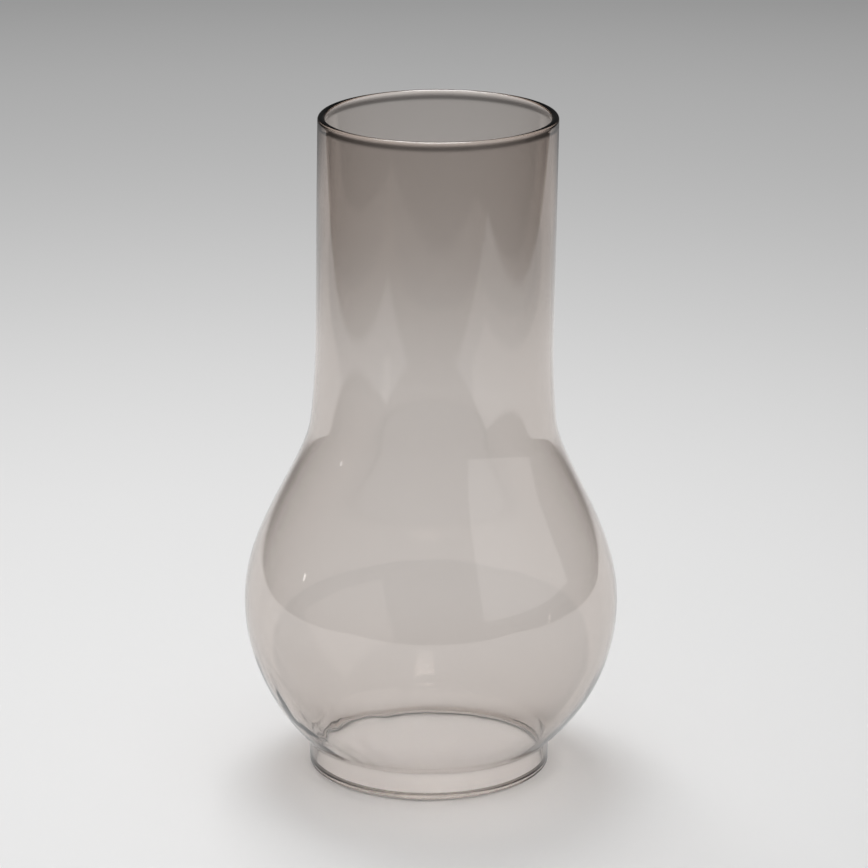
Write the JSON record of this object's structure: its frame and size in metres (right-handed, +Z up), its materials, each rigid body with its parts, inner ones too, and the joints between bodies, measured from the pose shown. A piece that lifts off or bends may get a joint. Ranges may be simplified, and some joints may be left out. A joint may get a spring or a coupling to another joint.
{
  "type": "glass lamp chimney",
  "caption": "Open-ended smoked glass chimney for an oil lamp: short collar, narrow waist, round bulb, sloping shoulder and straight neck with a fire-polished rim.",
  "frame": {"origin": "centre of the foot's ring, on the surface that the chimney stands on", "axes": "+Z up along the chimney's axis, from the foot to the rim; the shape is the same all round, so +X and +Y are free"},
  "size_m": [0.1178, 0.1178, 0.21],
  "materials": {
    "smoked_glass": "clear, glossy, warm grey smoked glass with a fire-polished rim"
  },
  "bodies": {
    "root": {"glass_chimney": "smoked_glass"}
  },
  "joints": []
}
